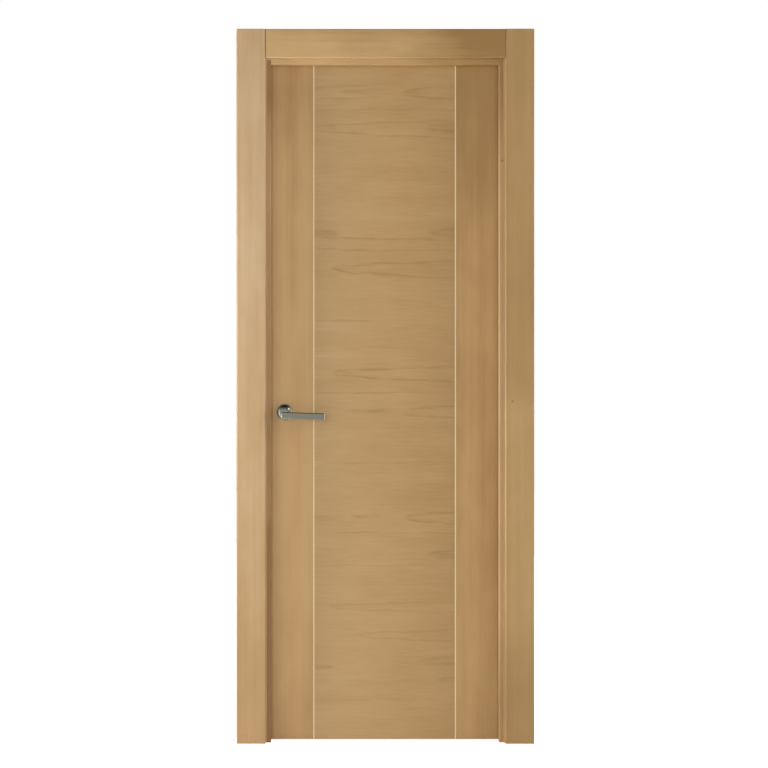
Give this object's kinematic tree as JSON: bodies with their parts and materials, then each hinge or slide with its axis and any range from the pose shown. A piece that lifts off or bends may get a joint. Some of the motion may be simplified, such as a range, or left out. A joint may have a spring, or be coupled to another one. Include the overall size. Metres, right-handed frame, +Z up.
{
  "type": "veneered interior door in its frame",
  "caption": "Flush interior door leaf with cross-grained veneer between two pale inlays, hung on butt hinges in a rebated frame with architraves and a straight lever handle.",
  "frame": {"origin": "on the wall face of the hinge jamb, at floor level and half way through the wall", "axes": "+X out of the hinge jamb's wall face, to the right as seen from the push side; +Y through the wall, away from the push side; +Z up"},
  "size_m": [0.93, 0.144, 2.2175],
  "materials": {
    "frame_wood": "satin lacquered straight-grained veneer",
    "stile_veneer": "satin lacquered veneer, grain upright",
    "cross_veneer": "satin lacquered veneer, grain across",
    "maple_inlay": "pale inlay, lacquered",
    "lipping_wood": "solid edge strip, lacquered",
    "core_board": "pressed board",
    "seal_rubber": "brown foam seal",
    "satin_steel": "satin",
    "handle_steel": "brushed satin"
  },
  "bodies": {
    "frame": {"latch_jamb": "frame_wood", "hinge_jamb": "frame_wood", "head_jamb": "frame_wood", "latch_stop": "frame_wood", "hinge_stop": "frame_wood", "head_stop": "frame_wood", "front_architrave_left": "frame_wood", "front_architrave_right": "frame_wood", "front_architrave_head": "frame_wood", "back_architrave_left": "frame_wood", "back_architrave_right": "frame_wood", "back_architrave_head": "frame_wood", "seal_latch_side": "seal_rubber", "seal_hinge_side": "seal_rubber", "seal_head": "seal_rubber", "strike_plate": "satin_steel", "hinge_frame_plate_bottom": "satin_steel", "hinge_frame_plate_middle": "satin_steel", "hinge_frame_plate_top": "satin_steel", "hinge_pin_bottom": "satin_steel", "hinge_pin_middle": "satin_steel", "hinge_pin_top": "satin_steel"},
    "leaf": {"leaf_core": "core_board", "latch_lipping": "lipping_wood", "hinge_lipping": "lipping_wood", "front_stile_left": "stile_veneer", "front_stile_right": "stile_veneer", "back_stile_left": "stile_veneer", "back_stile_right": "stile_veneer", "front_inlay_left": "maple_inlay", "front_inlay_right": "maple_inlay", "back_inlay_left": "maple_inlay", "back_inlay_right": "maple_inlay", "front_panel": "cross_veneer", "back_panel": "cross_veneer", "hinge_leaf_plate_bottom": "satin_steel", "hinge_leaf_plate_middle": "satin_steel", "hinge_leaf_plate_top": "satin_steel", "latch_faceplate": "satin_steel", "latch_bolt": "satin_steel", "front_rose": "handle_steel", "back_rose": "handle_steel"},
    "handle": {"front_lever": "handle_steel", "back_lever": "handle_steel", "spindle": "handle_steel"}
  },
  "joints": [
    {"name": "leaf_hinge", "type": "hinge", "parent": "frame", "child": "leaf", "pos_m": [-0.0195, 0.0395, 0.225], "axis": [0, 0, -1], "range_deg": [0, 170]},
    {"name": "handle_turn", "type": "hinge", "parent": "leaf", "child": "handle", "pos_m": [-0.697, 0.01, 1.026], "axis": [0, 1, 0], "range_deg": [0, 40], "stiffness_Nm_per_rad": 1.5, "springref_deg": -28.65}
  ]
}
